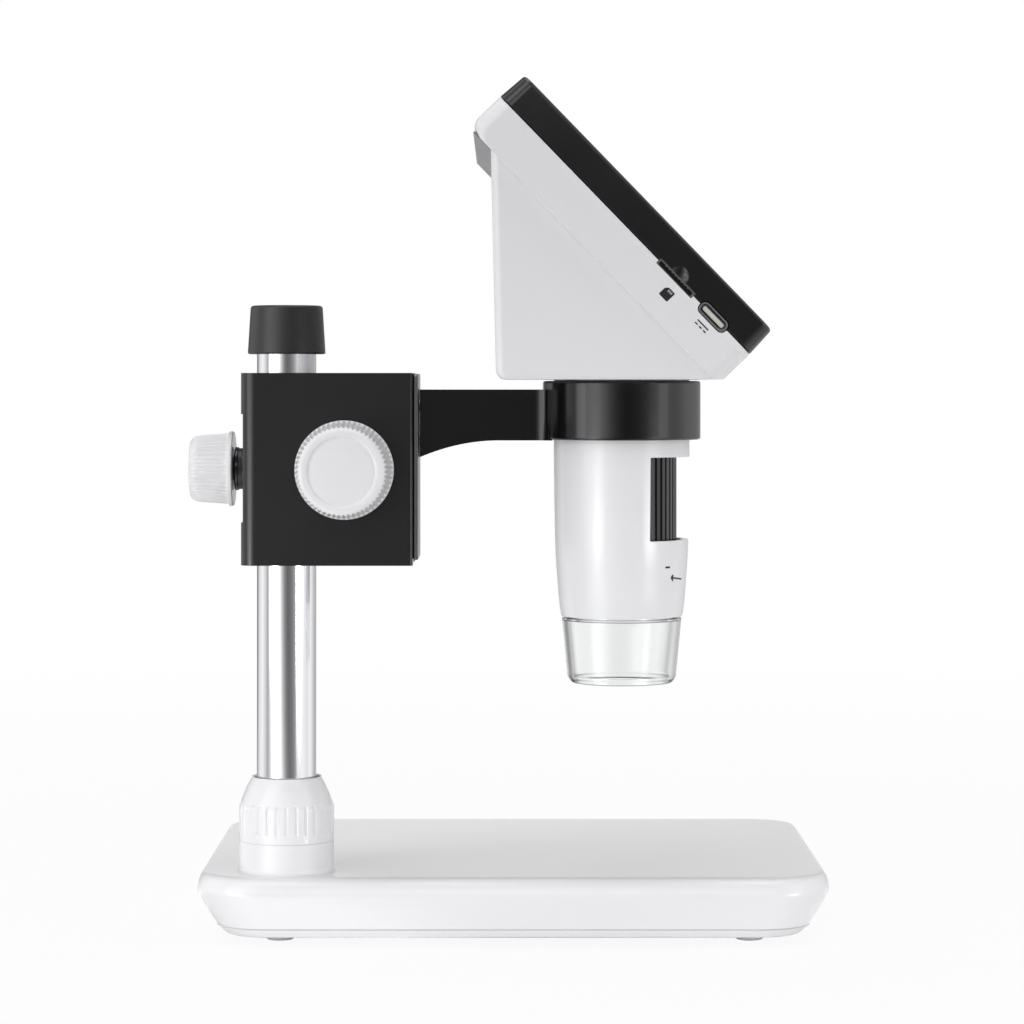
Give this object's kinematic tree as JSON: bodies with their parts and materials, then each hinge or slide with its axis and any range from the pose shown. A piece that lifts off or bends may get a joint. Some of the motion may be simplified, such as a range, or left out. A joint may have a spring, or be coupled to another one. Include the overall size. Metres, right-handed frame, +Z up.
{
  "type": "lcd digital microscope",
  "caption": "Digital microscope with a tilted screen head held in a collar on a rack-focused arm, clamped to a pole over a flat stage.",
  "frame": {"origin": "middle of the footprint of the whole, on the surface that the feet stand on", "axes": "+Z up; +X from the pole towards the microscope tube; +Y away from the side with the focus knob"},
  "size_m": [0.1722, 0.1674, 0.2259],
  "materials": {
    "white_plastic": "moulded ABS, satin gloss",
    "tray_plastic": "moulded ABS, fine matt grain",
    "ballast_steel": "cut plate",
    "foot_rubber": "moulded, matt",
    "zinc_steel": "zinc plated",
    "pole_steel": "stainless tube, polished",
    "black_rubber": "moulded, matt",
    "nylon": "moulded nylon",
    "housing_black": "black anodised, satin",
    "carriage_metal": "dark anodised",
    "black_plastic": "moulded, glossy",
    "bezel_plastic": "moulded ABS, satin",
    "brass": "machined",
    "clear_plastic": "clear moulded acrylic",
    "lens_glass": "ground and coated glass",
    "screen_glass": "black-backed cover glass, polished",
    "board_green": "printed circuit board",
    "board_white": "white printed circuit board",
    "foil_metal": "thin plated sheet"
  },
  "bodies": {
    "stand": {"base_cover": "white_plastic", "base_tray": "tray_plastic", "ballast_plate": "ballast_steel", "foot_front_left": "foot_rubber", "foot_rear_left": "foot_rubber", "foot_front_right": "foot_rubber", "foot_rear_right": "foot_rubber", "base_screw_1": "zinc_steel", "base_screw_2": "zinc_steel", "base_screw_3": "zinc_steel", "base_screw_4": "zinc_steel", "pole": "pole_steel", "pole_cap": "black_rubber", "grip_collet": "nylon"},
    "nut": {"lock_nut": "white_plastic"},
    "bush": {"pole_bush": "nylon"},
    "housing": {"rack_housing": "housing_black", "gear_cover": "bezel_plastic"},
    "clamp": {"clamp_knob": "white_plastic", "clamp_screw": "bezel_plastic"},
    "carriage": {"slide_carriage": "carriage_metal", "rack": "brass", "arm_screw_1": "zinc_steel", "arm_screw_2": "zinc_steel", "holder_arm": "black_plastic", "collar_liner": "black_rubber"},
    "focus": {"focus_knob": "white_plastic", "focus_shaft": "zinc_steel", "pinion": "brass"},
    "head": {"rear_shell": "white_plastic", "front_bezel": "bezel_plastic", "main_board": "board_green", "card_socket": "foil_metal", "power_socket": "foil_metal", "case_screw_1": "zinc_steel", "case_screw_2": "zinc_steel", "case_screw_3": "zinc_steel", "case_screw_4": "zinc_steel", "screen_glass": "screen_glass", "lcd_panel": "foil_metal", "battery": "foil_metal", "tube_shell": "white_plastic", "wheel_retainer": "bezel_plastic", "lens_guide": "bezel_plastic", "sensor_board": "board_green", "lamp_board": "board_white", "clear_hood": "clear_plastic"},
    "wheel": {"focus_wheel": "bezel_plastic"},
    "lens": {"lens_barrel": "bezel_plastic", "objective_lens": "lens_glass"},
    "key_body_1": {"key_1": "white_plastic"},
    "key_body_2": {"key_2": "white_plastic"},
    "key_body_3": {"key_3": "white_plastic"},
    "key_body_4": {"key_4": "white_plastic"},
    "key_body_5": {"key_5": "white_plastic"},
    "key_body_6": {"key_6": "white_plastic"}
  },
  "joints": [
    {"name": "lock_nut_turn", "type": "hinge", "parent": "stand", "child": "nut", "pos_m": [-0.06035, -0.0237, 0.035], "axis": [0, 0, 1], "range_deg": [0, 120]},
    {"name": "pole_slide", "type": "slide", "parent": "stand", "child": "bush", "axis": [0, 0, 1], "range_m": [-0.028, 0.0045]},
    {"name": "pole_swing", "type": "hinge", "parent": "bush", "child": "housing", "pos_m": [-0.06035, -0.0237, 0.126], "axis": [0, 0, 1], "continuous": true},
    {"name": "clamp_turn", "type": "hinge", "parent": "housing", "child": "clamp", "pos_m": [-0.07435, -0.0237, 0.12585], "axis": [-1, 0, 0], "range_deg": [0, 180]},
    {"name": "focus_slide", "type": "slide", "parent": "housing", "child": "carriage", "axis": [0, 0, 1], "range_m": [-0.02, 0.02]},
    {"name": "focus_knob_turn", "type": "hinge", "parent": "housing", "child": "focus", "pos_m": [-0.04415, -0.0437, 0.12585], "axis": [0, -1, 0], "range_deg": [-239.93, 239.93]},
    {"name": "head_turn", "type": "hinge", "parent": "carriage", "child": "head", "pos_m": [0.02965, -0.0237, 0.141], "axis": [0, 0, 1], "range_deg": [-30, 30]},
    {"name": "lens_slide", "type": "slide", "parent": "head", "child": "lens", "axis": [0, 0, 1], "range_m": [-0.003, 0.003]},
    {"name": "focus_wheel_turn", "type": "hinge", "parent": "head", "child": "wheel", "pos_m": [0.02965, -0.0237, 0.118], "axis": [0, 0, 1], "range_deg": [-151, 151]},
    {"name": "key_1_press", "type": "slide", "parent": "head", "child": "key_body_1", "axis": [-0.7181, 0, -0.6959], "range_m": [0, 0.0005], "stiffness_N_per_m": 400, "springref_m": -0.0002},
    {"name": "key_2_press", "type": "slide", "parent": "head", "child": "key_body_2", "axis": [-0.7181, 0, -0.6959], "range_m": [0, 0.0005], "stiffness_N_per_m": 400, "springref_m": -0.0002},
    {"name": "key_3_press", "type": "slide", "parent": "head", "child": "key_body_3", "axis": [-0.7181, 0, -0.6959], "range_m": [0, 0.0005], "stiffness_N_per_m": 400, "springref_m": -0.0002},
    {"name": "key_4_press", "type": "slide", "parent": "head", "child": "key_body_4", "axis": [-0.7181, 0, -0.6959], "range_m": [0, 0.0005], "stiffness_N_per_m": 400, "springref_m": -0.0002},
    {"name": "key_5_press", "type": "slide", "parent": "head", "child": "key_body_5", "axis": [-0.7181, 0, -0.6959], "range_m": [0, 0.0005], "stiffness_N_per_m": 400, "springref_m": -0.0002},
    {"name": "key_6_press", "type": "slide", "parent": "head", "child": "key_body_6", "axis": [-0.7181, 0, -0.6959], "range_m": [0, 0.0005], "stiffness_N_per_m": 400, "springref_m": -0.0002}
  ],
  "couplings": [
    {"joint": "focus_knob_turn", "follows": "focus_slide", "rad_per_m": 208.33},
    {"joint": "focus_wheel_turn", "follows": "lens_slide", "rad_per_m": 872.66}
  ]
}
